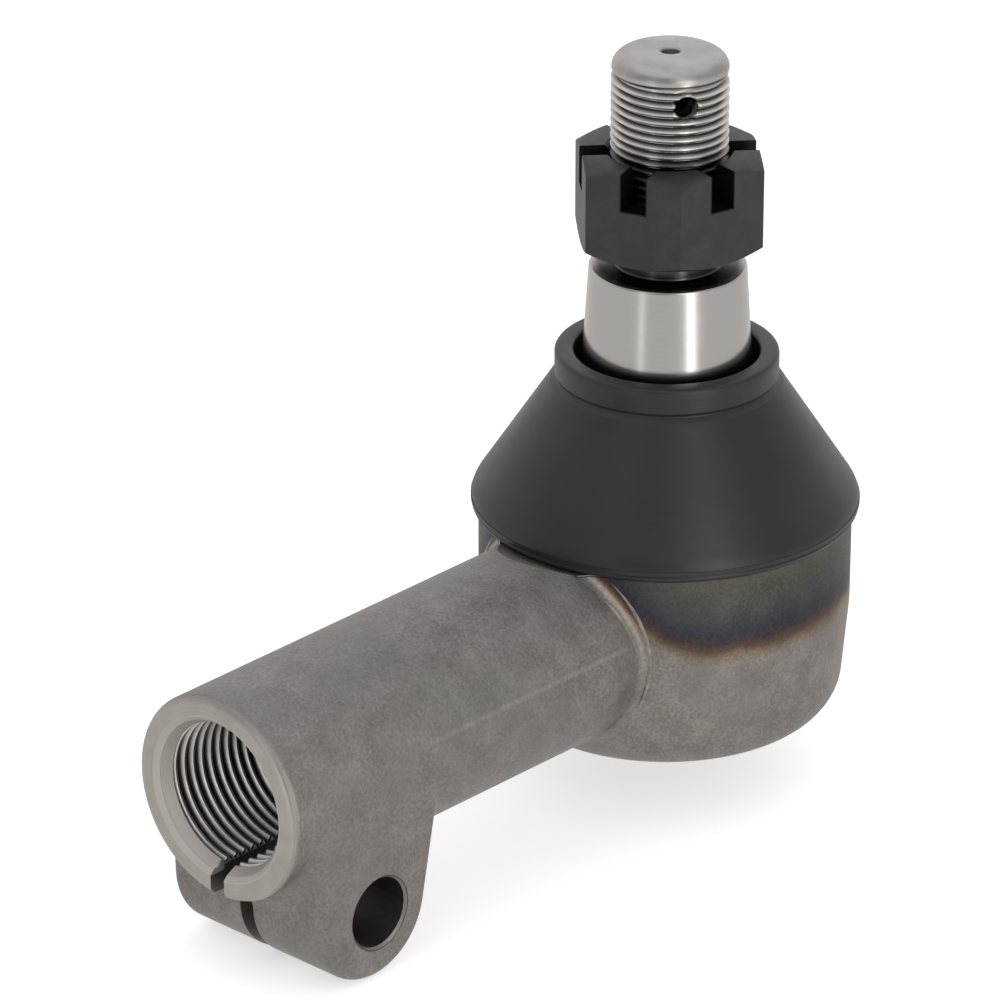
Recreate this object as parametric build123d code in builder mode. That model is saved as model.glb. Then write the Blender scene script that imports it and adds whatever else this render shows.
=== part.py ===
# Tie rod end: a ball stud held in a forged steel housing, whose shank is threaded inside and clamped.
#
# Lengths are in millimetres. The origin is the centre of the ball. +Z runs up the upright stud, the
# shank points along -X, and the clamp bolt lies across it, along Y.
from build123d import *
from math import cos, radians, sin, sqrt, tan
import os

os.makedirs("parts", exist_ok=True)

CUT_OVERRUN = 1.0  # how far a cutting shape reaches past the surface it opens
TOLERANCE = 0.05  # how closely an edge must match to be picked

# ---- Ball stud ----
BALL_R = 16.5
BALL_FLAT_Z = -15.6
NECK_R = 9.8
FLARE_START_Z = 25.0
TAPER_START_Z = 36.5
TAPER_END_Z = 60.4
TAPER_END_R = 13.45
TAPER_SLOPE = 1 / 16  # a 1:8 taper on the diameter
UNDERCUT_R = 8.8
THREAD_START_Z = 63.2
THREAD_R = 10.0
THREAD_END_Z = 96.0
STUD_TOP_Z = 98.6
STUD_TOP_FLAT_R = 7.7
COTTER_R = 2.0
COTTER_Z = 91.8
COTTER_TURN = 57.5
CENTRE_DRILL_R = 1.7
CENTRE_DRILL_TIP_R = 0.01
CENTRE_DRILL_DEPTH = 2.6
DOME_SAGITTA = -0.6
FLARE_BLEND_R = 6.0
TILT_LIMIT = 20
TILT_MARGIN = 0.6

# ---- Castle nut, M20 x 1.5 ----
NUT_ACROSS_FLATS = 30.0
NUT_HEIGHT = 16.4
NUT_BOTTOM_Z = 64.8
NUT_SLOT_WIDTH = 4.5
NUT_SLOT_DEPTH = 6.5
NUT_CORNER_TURN = 47.5
NUT_CHAMFER_ANGLE = 30
NUT_BORE_CLEARANCE = 0.05
NUT_MOUTH_CHAMFER = 0.9
NUT_BORE_WALL_R = 8.0

# ---- Housing: cup ----
CUP_R = 32.2
CUP_LOW_R = 30.4
CUP_DRAFT_Z = -1.0
CUP_DRAFT_BLEND_R = 40.0
CUP_BOTTOM_Z = -21.9
CUP_EDGE_R = 8.5
SHOULDER_Z = 15.9
SPIGOT_R = 28.6
RIM_TOP_Z = 20.4
RIM_HOLE_R = 19.6
RIM_EDGE_R = 2.5
ROOT_RELIEF_R = 33.9
ROOT_RELIEF_OUTER_R = 43.0
ROOT_RELIEF_DROP = 0.3
CAVITY_R = 22.6
CAVITY_FLOOR_Z = -18.4

# ---- Housing: shank and clamp lug ----
END_X = -110.0
SHANK_END_R = 17.8
SHANK_ROOT_R = 18.4
SHANK_EDGE_R = 1.4
SHANK_THREAD_R = 13.5  # M27 x 2, as a plain bore at its major diameter
SHANK_DRILL_R = 12.42
MOUTH_CHAMFER = 0.8
SHANK_THREAD_END_X = -60.0
SHANK_BORE_END_X = -53.0
DRILL_POINT_ANGLE = 59
LUG_HALF_WIDTH = 17.75
LUG_BOLT_X = -90.4
LUG_BOLT_Z = -22.0
LUG_X = -91.1
LUG_Z = -21.5
LUG_R = 12.3
LUG_FRONT_TOP_X = -104.2
LUG_BACK_TOP_X = -74.2
LUG_EDGE_R = 2.2
LUG_JUNCTION_R = 4.4
LUG_BASE_HEIGHT = 1.0
LUG_SEARCH = 4.0
BOLT_HOLE_R = 6.1
BOLT_HOLE_CHAMFER = 0.5
SLIT_WIDTH = 3.0
SLIT_END_X = -66.0
JUNCTION_FILLET_R = 2.5

# ---- Bearing inside the cup ----
FIT_GAP = 0.05
RACE_SPHERE_R = BALL_R + FIT_GAP
RACE_CORNER = 1.0
UPPER_LIP_R = 14.1
UPPER_RACE_BOTTOM_Z = 0.4
UPPER_RACE_TOP_Z = 13.0
LOWER_RACE_TOP_Z = -0.4
LOWER_RACE_BOTTOM_Z = -16.6
LOWER_RACE_HOLE_R = 8.0
CLOSING_RING_TOP_Z = 16.2
CLOSING_RING_HOLE_R = 17.6
SPRING_OUTER_R = 21.0
SPRING_INNER_R = 11.0
SPRING_THICKNESS = 1.1

# ---- Dust boot and its two rings ----
BOOT_R = 33.5
BOOT_BOTTOM_Z = 16.0
BOOT_SHOULDER_Z = 18.6
BOOT_CONE_TOP_R = 19.9
BOOT_CONE_TOP_Z = 39.4
BOOT_WALL = 2.8
BOOT_FOOT_WALL = 4.5
BOOT_FOOT_RISE = 2.0
BOOT_FOOT_STEP = 0.6
COLLAR_R = 19.2
COLLAR_HOLE_R = 15.9
COLLAR_TOP_Z = 45.0
CREASE_DEPTH = 0.35
BASE_RING_R = 30.4
BASE_RING_HEIGHT = 3.6
COLLAR_RING_R = 17.6
COLLAR_RING_HOLE_R = 16.3
COLLAR_RING_Z = 37.6
COLLAR_RING_HEIGHT = 1.8
BOOT_GAP = 0.15
BOOT_LIP_DROP = 0.6
BOOT_SHOULDER_R = 5.0
COLLAR_EDGE_R = 0.6


def taper_radius(z):
    """Radius of the stud's taper at height z."""
    return TAPER_END_R + (TAPER_END_Z - z) * TAPER_SLOPE


def sphere_height(sphere_r, r):
    """Height above its centre at which a sphere has radius r."""
    return sqrt(sphere_r**2 - r**2)


# ---- Ball stud: ball, neck, flare, taper, undercut and threaded end in one turned forging ----
taper_start_r = taper_radius(TAPER_START_Z)
neck_z = sphere_height(BALL_R, NECK_R)
ball_flat_r = sphere_height(BALL_R, BALL_FLAT_Z)
cotter_direction = (cos(radians(COTTER_TURN)), sin(radians(COTTER_TURN)), 0)
with BuildPart() as ball_stud:
    with BuildSketch(Plane.XZ) as stud_profile:
        with BuildLine():
            Line((0, BALL_FLAT_Z), (ball_flat_r, BALL_FLAT_Z))
            ThreePointArc((ball_flat_r, BALL_FLAT_Z), (BALL_R, 0), (NECK_R, neck_z))
            Polyline(
                (NECK_R, neck_z),
                (NECK_R, FLARE_START_Z),
                (taper_start_r, TAPER_START_Z),
                (TAPER_END_R, TAPER_END_Z),
                (UNDERCUT_R, TAPER_END_Z),
                (UNDERCUT_R, THREAD_START_Z),
                (THREAD_R, THREAD_START_Z + THREAD_R - UNDERCUT_R),
                (THREAD_R, THREAD_END_Z),
            )
            SagittaArc((THREAD_R, THREAD_END_Z), (STUD_TOP_FLAT_R, STUD_TOP_Z), DOME_SAGITTA)
            Polyline((STUD_TOP_FLAT_R, STUD_TOP_Z), (0, STUD_TOP_Z), (0, BALL_FLAT_Z))
        make_face()
        flare_corners = stud_profile.vertices().filter_by_position(
            Axis.Y, FLARE_START_Z - 1, TAPER_START_Z + 1
        )
        fillet(flare_corners.filter_by(lambda corner: corner.X > 1), FLARE_BLEND_R)
    revolve(axis=Axis.Z)
    with Locations((0, 0, STUD_TOP_Z - CENTRE_DRILL_DEPTH / 2)):
        Cone(CENTRE_DRILL_TIP_R, CENTRE_DRILL_R, CENTRE_DRILL_DEPTH, mode=Mode.SUBTRACT)
    with BuildSketch(Plane(origin=(0, 0, COTTER_Z), z_dir=cotter_direction)):
        Circle(COTTER_R)
    extrude(amount=THREAD_R + CUT_OVERRUN, both=True, mode=Mode.SUBTRACT)
ball_stud.part.label = "ball_stud"
export_step(ball_stud.part, "parts/ball_stud.step")


# ---- Castle nut: a hexagon with both ends chamfered and six slots through the middle of its flats ----
nut_corner_r = NUT_ACROSS_FLATS / sqrt(3)
chamfer_drop = (nut_corner_r - NUT_ACROSS_FLATS / 2) * tan(radians(NUT_CHAMFER_ANGLE))
nut_top_z = NUT_BOTTOM_Z + NUT_HEIGHT
nut_bore_r = THREAD_R + NUT_BORE_CLEARANCE
with BuildPart() as castle_nut:
    with BuildSketch(Plane.XY.offset(NUT_BOTTOM_Z)):
        RegularPolygon(nut_corner_r, 6, rotation=NUT_CORNER_TURN)
    extrude(amount=NUT_HEIGHT)
    with BuildSketch(Plane.XZ):
        Polygon(
            (0, NUT_BOTTOM_Z),
            (NUT_ACROSS_FLATS / 2, NUT_BOTTOM_Z),
            (nut_corner_r, NUT_BOTTOM_Z + chamfer_drop),
            (nut_corner_r, nut_top_z - chamfer_drop),
            (NUT_ACROSS_FLATS / 2, nut_top_z),
            (0, nut_top_z),
            align=None,
        )
    revolve(axis=Axis.Z, mode=Mode.INTERSECT)
    with BuildSketch(Plane.XY.offset(nut_top_z)):
        with PolarLocations(nut_corner_r, 6, start_angle=NUT_CORNER_TURN + 30):
            Rectangle(2 * (nut_corner_r - NUT_BORE_WALL_R), NUT_SLOT_WIDTH)
    extrude(amount=-NUT_SLOT_DEPTH, mode=Mode.SUBTRACT)
    with Locations((0, 0, nut_top_z)):
        Hole(nut_bore_r)
    bore_rims = castle_nut.edges().filter_by(GeomType.CIRCLE)
    chamfer(bore_rims.filter_by(lambda rim: abs(rim.radius - nut_bore_r) < TOLERANCE), NUT_MOUTH_CHAMFER)
castle_nut.part.label = "castle_nut"
export_step(castle_nut.part, "parts/castle_nut.step")


# ---- Housing: cup, internally threaded shank and split clamp lug in one forging ----
def shank_radius(x):
    """Outside radius of the slightly conical shank at position x."""
    return SHANK_ROOT_R + (SHANK_END_R - SHANK_ROOT_R) * x / END_X


def lies_on_shank(edge):
    """True for an edge of the clamp lug that runs along the shank's surface."""
    points = [edge @ 0, edge @ 0.5, edge @ 1]
    near = all(abs(sqrt(p.Y**2 + p.Z**2) - shank_radius(p.X)) < TOLERANCE for p in points)
    return near and all(END_X + LUG_SEARCH < p.X < LUG_BACK_TOP_X + LUG_SEARCH and p.Z < 0 for p in points)


drill_point_length = SHANK_DRILL_R / tan(radians(DRILL_POINT_ANGLE))
with BuildPart() as housing:
    # The cup's outside: drafted sides over a generously rounded bottom
    with BuildSketch(Plane.XZ) as cup_profile:
        Polygon(
            (0, CUP_BOTTOM_Z),
            (CUP_LOW_R, CUP_BOTTOM_Z),
            (CUP_R, CUP_DRAFT_Z),
            (CUP_R, RIM_TOP_Z),
            (0, RIM_TOP_Z),
            align=None,
        )
        bottom_corner = cup_profile.vertices().sort_by_distance((CUP_LOW_R, CUP_BOTTOM_Z))[0]
        fillet(bottom_corner, CUP_EDGE_R)
        draft_corner = cup_profile.vertices().sort_by_distance((CUP_R, CUP_DRAFT_Z))[0]
        fillet(draft_corner, CUP_DRAFT_BLEND_R)
    revolve(axis=Axis.Z)
    # The shank's outside, blended into the cup
    with BuildSketch(Plane.XZ):
        Polygon((END_X, 0), (END_X, SHANK_END_R), (0, SHANK_ROOT_R), (0, 0), align=None)
    revolve(axis=Axis.X)
    fillet(housing.edges().filter_by(GeomType.BSPLINE), JUNCTION_FILLET_R)
    # The clamp lug: as wide as the shank and round about its bolt hole
    with BuildSketch(Plane.XZ):
        with Locations((LUG_X, LUG_Z)):
            Circle(LUG_R)
        with Locations(((LUG_FRONT_TOP_X + LUG_BACK_TOP_X) / 2, LUG_BASE_HEIGHT / 2)):
            Rectangle(LUG_BACK_TOP_X - LUG_FRONT_TOP_X, LUG_BASE_HEIGHT)
        make_hull()
    extrude(amount=LUG_HALF_WIDTH, both=True)
    lug_rims = housing.edges().filter_by(
        lambda edge: abs(abs(edge.center().Y) - LUG_HALF_WIDTH) < TOLERANCE and edge.center().Z < -LUG_SEARCH
    )
    fillet(lug_rims, LUG_EDGE_R)
    fillet(housing.edges().filter_by(lies_on_shank), LUG_JUNCTION_R)
    end_rim = housing.edges().filter_by(GeomType.CIRCLE).sort_by(Axis.X)[0]
    fillet(end_rim, SHANK_EDGE_R)
    # The turned shoulder and spigot that carry the boot, and the relief over the shank's root
    with BuildSketch(Plane.XZ):
        Polygon(
            (SPIGOT_R, SHOULDER_Z),
            (ROOT_RELIEF_R, SHOULDER_Z),
            (ROOT_RELIEF_OUTER_R, RIM_TOP_Z - ROOT_RELIEF_DROP),
            (ROOT_RELIEF_OUTER_R, RIM_TOP_Z + CUT_OVERRUN),
            (SPIGOT_R, RIM_TOP_Z + CUT_OVERRUN),
            align=None,
        )
    revolve(axis=Axis.Z, mode=Mode.SUBTRACT)
    rim_edge = housing.edges().filter_by(GeomType.CIRCLE).group_by(Axis.Z)[-1]
    fillet(rim_edge, RIM_EDGE_R)
    # The bearing cavity, closed above by the rim that is rolled in over the closing ring
    with BuildSketch(Plane.XZ):
        Polygon(
            (0, CAVITY_FLOOR_Z),
            (CAVITY_R, CAVITY_FLOOR_Z),
            (CAVITY_R, CLOSING_RING_TOP_Z),
            (RIM_HOLE_R, CLOSING_RING_TOP_Z),
            (RIM_HOLE_R, RIM_TOP_Z + CUT_OVERRUN),
            (0, RIM_TOP_Z + CUT_OVERRUN),
            align=None,
        )
    revolve(axis=Axis.Z, mode=Mode.SUBTRACT)
    # The threaded bore with its chamfered mouth and drill point
    with BuildSketch(Plane.XZ):
        Polygon(
            (END_X, 0),
            (END_X, SHANK_THREAD_R + MOUTH_CHAMFER),
            (END_X + MOUTH_CHAMFER, SHANK_THREAD_R),
            (SHANK_THREAD_END_X, SHANK_THREAD_R),
            (SHANK_THREAD_END_X + SHANK_THREAD_R - SHANK_DRILL_R, SHANK_DRILL_R),
            (SHANK_BORE_END_X, SHANK_DRILL_R),
            (SHANK_BORE_END_X + drill_point_length, 0),
            align=None,
        )
    revolve(axis=Axis.X, mode=Mode.SUBTRACT)
    # The slit through the underside, which lets the lug close on the tie rod
    with BuildSketch(Plane.XZ):
        with Locations((END_X - CUT_OVERRUN, -2 * SHANK_END_R)):
            slit_length = SLIT_END_X - END_X + CUT_OVERRUN
            Rectangle(slit_length, 2 * SHANK_END_R, align=(Align.MIN, Align.MIN))
    extrude(amount=SLIT_WIDTH / 2, both=True, mode=Mode.SUBTRACT)
    # The clamp bolt's hole
    with BuildSketch(Plane.XZ):
        with Locations((LUG_BOLT_X, LUG_BOLT_Z)):
            Circle(BOLT_HOLE_R)
    extrude(amount=LUG_HALF_WIDTH + CUT_OVERRUN, both=True, mode=Mode.SUBTRACT)
    flank_rims = housing.edges().filter_by(GeomType.CIRCLE).filter_by(
        lambda edge: abs(edge.radius - BOLT_HOLE_R) < TOLERANCE and abs(edge.center().Y) > SLIT_WIDTH
    )
    chamfer(flank_rims, BOLT_HOLE_CHAMFER)
housing.part.label = "housing"
export_step(housing.part, "parts/housing.step")


# ---- Lower race: the bearing half under the ball, free to turn in the cup, with a grease pocket ----
lower_top_r = sphere_height(RACE_SPHERE_R, LOWER_RACE_TOP_Z)
lower_hole_z = -sphere_height(RACE_SPHERE_R, LOWER_RACE_HOLE_R)
lower_mid_z = -RACE_SPHERE_R * sin(radians(30))
with BuildPart() as lower_race:
    with BuildSketch(Plane.XZ):
        with BuildLine():
            ThreePointArc(
                (lower_top_r, LOWER_RACE_TOP_Z),
                (sphere_height(RACE_SPHERE_R, lower_mid_z), lower_mid_z),
                (LOWER_RACE_HOLE_R, lower_hole_z),
            )
            Polyline(
                (LOWER_RACE_HOLE_R, lower_hole_z),
                (LOWER_RACE_HOLE_R, LOWER_RACE_BOTTOM_Z),
                (CAVITY_R - 2 * FIT_GAP - RACE_CORNER, LOWER_RACE_BOTTOM_Z),
                (CAVITY_R - 2 * FIT_GAP, LOWER_RACE_BOTTOM_Z + RACE_CORNER),
                (CAVITY_R - 2 * FIT_GAP, LOWER_RACE_TOP_Z),
                (lower_top_r, LOWER_RACE_TOP_Z),
            )
        make_face()
    revolve(axis=Axis.Z)
lower_race.part.label = "lower_race"
export_step(lower_race.part, "parts/lower_race.step")


# ---- Upper race: the bearing half over the ball, opened into a cone for the neck's swing ----
def neck_reach(z):
    """Radius that the neck sweeps at height z when the stud leans to its limit."""
    return z * tan(radians(TILT_LIMIT)) + NECK_R / cos(radians(TILT_LIMIT)) + TILT_MARGIN


upper_bottom_r = sphere_height(RACE_SPHERE_R, UPPER_RACE_BOTTOM_Z)
upper_lip_z = sphere_height(RACE_SPHERE_R, UPPER_LIP_R)
upper_mid_z = (UPPER_RACE_BOTTOM_Z + upper_lip_z) / 2
with BuildPart() as upper_race:
    with BuildSketch(Plane.XZ):
        with BuildLine():
            ThreePointArc(
                (upper_bottom_r, UPPER_RACE_BOTTOM_Z),
                (sphere_height(RACE_SPHERE_R, upper_mid_z), upper_mid_z),
                (UPPER_LIP_R, upper_lip_z),
            )
            Polyline(
                (UPPER_LIP_R, upper_lip_z),
                (neck_reach(UPPER_RACE_TOP_Z), UPPER_RACE_TOP_Z),
                (CAVITY_R, UPPER_RACE_TOP_Z),
                (CAVITY_R, UPPER_RACE_BOTTOM_Z),
                (upper_bottom_r, UPPER_RACE_BOTTOM_Z),
            )
        make_face()
    revolve(axis=Axis.Z)
upper_race.part.label = "upper_race"
export_step(upper_race.part, "parts/upper_race.step")


# ---- Closing ring: the washer that the rolled rim holds down on the upper race ----
with BuildPart() as closing_ring:
    with BuildSketch(Plane.XY.offset(UPPER_RACE_TOP_Z)):
        Circle(CAVITY_R)
        Circle(CLOSING_RING_HOLE_R, mode=Mode.SUBTRACT)
    extrude(amount=CLOSING_RING_TOP_Z - UPPER_RACE_TOP_Z)
closing_ring.part.label = "closing_ring"
export_step(closing_ring.part, "parts/closing_ring.step")


# ---- Disc spring: a shallow cone that presses the lower race up against the ball ----
with BuildPart() as disc_spring:
    with BuildSketch(Plane.XZ):
        Polygon(
            (SPRING_INNER_R, LOWER_RACE_BOTTOM_Z - SPRING_THICKNESS),
            (SPRING_OUTER_R, CAVITY_FLOOR_Z),
            (SPRING_OUTER_R, CAVITY_FLOOR_Z + SPRING_THICKNESS),
            (SPRING_INNER_R, LOWER_RACE_BOTTOM_Z),
            align=None,
        )
    revolve(axis=Axis.Z)
disc_spring.part.label = "disc_spring"
export_step(disc_spring.part, "parts/disc_spring.step")


# ---- Boot base ring: the steel ring in the boot's foot, pressed over the housing's spigot ----
with BuildPart() as boot_base_ring:
    with BuildSketch(Plane.XY.offset(SHOULDER_Z)):
        Circle(BASE_RING_R)
        Circle(SPIGOT_R, mode=Mode.SUBTRACT)
    extrude(amount=BASE_RING_HEIGHT)
boot_base_ring.part.label = "boot_base_ring"
export_step(boot_base_ring.part, "parts/boot_base_ring.step")


# ---- Boot collar ring: the ring that keeps the boot's throat round below its collar ----
with BuildPart() as boot_collar_ring:
    with BuildSketch(Plane.XY.offset(COLLAR_RING_Z)):
        Circle(COLLAR_RING_R)
        Circle(COLLAR_RING_HOLE_R, mode=Mode.SUBTRACT)
    extrude(amount=COLLAR_RING_HEIGHT)
boot_collar_ring.part.label = "boot_collar_ring"
export_step(boot_collar_ring.part, "parts/boot_collar_ring.step")


# ---- Dust boot: a straight rubber cone with a thick open collar and a rounded foot ----
groove_r = COLLAR_RING_R + BOOT_GAP
foot_hole_r = BASE_RING_R + BOOT_GAP
foot_top_z = SHOULDER_Z + BASE_RING_HEIGHT + BOOT_GAP
with BuildPart() as dust_boot:
    with BuildSketch(Plane.XZ) as boot_profile:
        Polygon(
            (foot_hole_r, BOOT_BOTTOM_Z),
            (BOOT_R - BOOT_LIP_DROP, BOOT_BOTTOM_Z),
            (BOOT_R, BOOT_BOTTOM_Z + BOOT_LIP_DROP),
            (BOOT_R, BOOT_SHOULDER_Z),
            (BOOT_CONE_TOP_R, BOOT_CONE_TOP_Z),
            (COLLAR_R - CREASE_DEPTH, BOOT_CONE_TOP_Z + BOOT_LIP_DROP),
            (COLLAR_R, BOOT_CONE_TOP_Z + 2 * BOOT_LIP_DROP),
            (COLLAR_R, COLLAR_TOP_Z),
            (COLLAR_HOLE_R, COLLAR_TOP_Z),
            (COLLAR_HOLE_R, COLLAR_RING_Z + COLLAR_RING_HEIGHT + BOOT_GAP),
            (groove_r, COLLAR_RING_Z + COLLAR_RING_HEIGHT + BOOT_GAP),
            (groove_r, COLLAR_RING_Z - BOOT_GAP),
            (BOOT_CONE_TOP_R - BOOT_WALL, COLLAR_RING_Z - BOOT_GAP),
            (BOOT_R - BOOT_FOOT_WALL, foot_top_z + BOOT_FOOT_RISE),
            (foot_hole_r - BOOT_FOOT_STEP, foot_top_z),
            (foot_hole_r, foot_top_z),
            align=None,
        )
        shoulder = boot_profile.vertices().sort_by_distance((BOOT_R, BOOT_SHOULDER_Z))[0]
        fillet(shoulder, BOOT_SHOULDER_R)
        collar_corners = boot_profile.vertices().group_by(Axis.Y)[-1]
        fillet(collar_corners, COLLAR_EDGE_R)
    revolve(axis=Axis.Z)
dust_boot.part.label = "dust_boot"
export_step(dust_boot.part, "parts/dust_boot.step")
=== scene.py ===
# %% [markdown]
# # A tie rod end
# This lesson dresses a finished CAD model of a tie rod end: a ball stud that swings in a forged
# housing, under a rubber boot. The CAD model gives every size and place. Here the threads, the
# rubber, the forging's small ridges and all the finishes are added, and none of it moves a CAD part.

from math import atan2, cos, degrees, pi, radians, sin, sqrt, tan

import bmesh
import bpy
from mathutils import Matrix, Vector


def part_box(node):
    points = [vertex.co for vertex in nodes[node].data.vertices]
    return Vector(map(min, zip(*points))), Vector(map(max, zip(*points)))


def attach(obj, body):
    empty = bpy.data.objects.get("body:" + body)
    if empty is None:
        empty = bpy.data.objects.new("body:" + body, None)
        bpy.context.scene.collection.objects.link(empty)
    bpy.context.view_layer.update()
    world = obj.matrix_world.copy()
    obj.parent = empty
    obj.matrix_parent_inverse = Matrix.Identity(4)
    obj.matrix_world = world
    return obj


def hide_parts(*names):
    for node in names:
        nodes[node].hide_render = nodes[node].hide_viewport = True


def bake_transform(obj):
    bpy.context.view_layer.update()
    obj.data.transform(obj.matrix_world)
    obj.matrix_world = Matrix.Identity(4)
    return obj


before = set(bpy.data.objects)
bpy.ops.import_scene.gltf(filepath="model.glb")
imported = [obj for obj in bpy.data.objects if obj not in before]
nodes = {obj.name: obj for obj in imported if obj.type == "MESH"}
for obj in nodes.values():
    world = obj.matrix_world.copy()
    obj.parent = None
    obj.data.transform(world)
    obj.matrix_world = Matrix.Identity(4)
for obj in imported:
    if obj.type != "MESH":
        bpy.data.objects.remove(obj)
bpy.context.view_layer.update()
MM = 0.001

# %% [markdown]
# ## Where the parts meet
# The extra pieces must sit exactly on the CAD surfaces, so the few radii and heights that they share
# with it are written down once, in millimetres. Everything that can be measured is read from the
# boxes of the CAD pieces instead.

# %% Shared sizes
stud_low, stud_high = [corner / MM for corner in map(Vector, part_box("ball_stud"))]
housing_low = Vector(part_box("housing")[0]) / MM
boot_low, boot_high = [corner / MM for corner in map(Vector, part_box("dust_boot"))]
nut_high = Vector(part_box("castle_nut")[1]) / MM

STUD_THREAD_R = 10.0
STUD_THREAD_PITCH = 1.5
STUD_THREAD_BOTTOM_Z = 64.4
STUD_ROOT_R = STUD_THREAD_R - 0.61 * STUD_THREAD_PITCH
DOME_BOTTOM_Z = 95.4
TAPER_TOP_Z = 60.4
BOLT_X, BOLT_Z, BOLT_HOLE_R = -90.4, -22.0, 6.1
PARTING_Z = 4.25
COTTER_Z = 91.8
COTTER_TURN = 57.5
SHANK_THREAD_R = 13.5
SHANK_DRILL_R = 12.42
SHANK_THREAD_PITCH = 2.0
SHANK_THREAD_END_X = -60.0
SHANK_R = 18.3
CUP_R = 32.2
JUNCTION_R = 2.5
SLIT_WIDTH = 3.0
SLIT_END_X = -66.0
NUT_SLOT_WIDTH = 4.5
NUT_SLOT_DEPTH = 6.5
NUT_SLOT_TURN = 17.5
print("shank end at x", round(housing_low.x, 1), "stud top at z", round(stud_high.z, 1))

# %% [markdown]
# ## The camera
# A long lens from well above the shank's end keeps the perspective nearly flat. The camera looks along
# one direction, so it is placed by stepping back from the point that it aims at.

# %% Set up the camera
CAMERA_AZIMUTH = -47.5
CAMERA_ELEVATION = 24.5
CAMERA_DISTANCE = 1041.0
CAMERA_LENS = 216.0
AIM_RIGHT = -28.45
AIM_UP = 14.75


def direction(azimuth, elevation):
    """Unit vector towards a camera at this azimuth and elevation, in degrees."""
    turn, lift = radians(azimuth), radians(elevation)
    return Vector((sin(turn) * cos(lift), -cos(turn) * cos(lift), sin(lift)))


towards_camera = direction(CAMERA_AZIMUTH, CAMERA_ELEVATION)
camera_right = Vector((0, 0, 1)).cross(towards_camera).normalized()
camera_up = towards_camera.cross(camera_right)
aim = camera_right * AIM_RIGHT + camera_up * AIM_UP
camera_data = bpy.data.cameras.new("studio_camera")
camera_data.lens = CAMERA_LENS
camera_data.sensor_width = 36.0
camera_data.clip_end = 20.0
camera = bpy.data.objects.new("studio_camera", camera_data)
bpy.context.scene.collection.objects.link(camera)
axes = Matrix((camera_right, camera_up, towards_camera)).transposed()
camera.matrix_world = Matrix.Translation((aim + towards_camera * CAMERA_DISTANCE) * MM) @ axes.to_4x4()
bpy.context.scene.camera = camera
print("camera at", [round(value, 3) for value in camera.location])

# %% [markdown]
# ## Small tools for shader nodes
# A material is a graph of nodes. Adding and linking them one by one takes many lines, so a few helpers
# do it: each takes numbers or sockets, and gives back the socket that holds the result.


# %% Node helpers
def put(socket, value):
    """Links value into socket if it is a socket, and otherwise sets it as a constant."""
    if isinstance(value, bpy.types.NodeSocket):
        socket.id_data.links.new(value, socket)
    else:
        socket.default_value = value


def add_node(tree, kind, inputs=None, **settings):
    """Adds a node, sets its plain properties, and then fills its inputs by name or number."""
    node = tree.nodes.new(kind)
    for name, value in settings.items():
        setattr(node, name, value)
    for name, value in (inputs or {}).items():
        put(node.inputs[name], value)
    return node


def calc(tree, operation, *values, clamp=False):
    """A Math node on up to three values."""
    inputs = dict(enumerate(values))
    return add_node(tree, "ShaderNodeMath", inputs, operation=operation, use_clamp=clamp).outputs[0]


def times(tree, first, second):
    """One value times another."""
    return calc(tree, "MULTIPLY", first, second)


def plus(tree, first, second):
    """One value plus another."""
    return calc(tree, "ADD", first, second)


def blend_colour(tree, amount, first, second, mode="MIX"):
    """A Mix node on two colours."""
    inputs = {"Factor": amount, 6: first, 7: second}
    return add_node(tree, "ShaderNodeMix", inputs, data_type="RGBA", blend_type=mode).outputs[2]


def fade(tree, value, start, end, low=0.0, high=1.0):
    """Turns value smoothly from low at start into high at end, and holds it outside them."""
    inputs = {"Value": value, "From Min": start, "From Max": end, "To Min": low, "To Max": high}
    return add_node(tree, "ShaderNodeMapRange", inputs, interpolation_type="SMOOTHSTEP").outputs[0]


def noise(tree, place, scale, detail=3.0, roughness=0.5, stretch=None):
    """Soft random values over a place, finer as scale grows."""
    if stretch:
        place = add_node(tree, "ShaderNodeMapping", {"Vector": place, "Scale": stretch}).outputs[0]
    inputs = {"Vector": place, "Scale": scale, "Detail": detail, "Roughness": roughness}
    return add_node(tree, "ShaderNodeTexNoise", inputs).outputs[0]


def split(tree, place):
    """The three coordinates of a place."""
    return add_node(tree, "ShaderNodeSeparateXYZ", {0: place}).outputs


def colour_steps(tree, value, steps):
    """Looks value up in a row of (position, colour) steps."""
    node = add_node(tree, "ShaderNodeValToRGB", {0: value})
    ramp = node.color_ramp
    while len(ramp.elements) < len(steps):
        ramp.elements.new(0.5)
    for element, (position, colour) in zip(ramp.elements, steps):
        element.position = position
        element.color = (*colour, 1.0)
    return node.outputs[0]


def radius_of(tree, first, second):
    """Distance from an axis, from the two coordinates across it."""
    squares = plus(tree, times(tree, first, first), times(tree, second, second))
    return calc(tree, "SQRT", squares)


def bump(tree, height, distance, normal=None, strength=1.0):
    """Tilts the surface's normal as if height, in metres times distance, stood on it."""
    inputs = {"Height": height, "Strength": strength, "Distance": distance}
    if normal:
        inputs["Normal"] = normal
    return add_node(tree, "ShaderNodeBump", inputs).outputs[0]


def new_material(name):
    """A material with its tree, its shader and the place of each point on the object."""
    material = bpy.data.materials.new(name)
    material.use_nodes = True
    tree = material.node_tree
    shader = tree.nodes["Principled BSDF"]
    place = tree.nodes.new("ShaderNodeTexCoord").outputs["Object"]
    return material, tree, shader, place


def dress(tree, shader, colour, roughness, height=None, metallic=0.0):
    """Gives a shader its colour, its roughness, its share of metal and a bump from a height in metres."""
    put(shader.inputs["Base Color"], colour)
    put(shader.inputs["Roughness"], roughness)
    put(shader.inputs["Metallic"], metallic)
    if height:
        put(shader.inputs["Normal"], bump(tree, height, 1.0))


print("node helpers ready")

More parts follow.
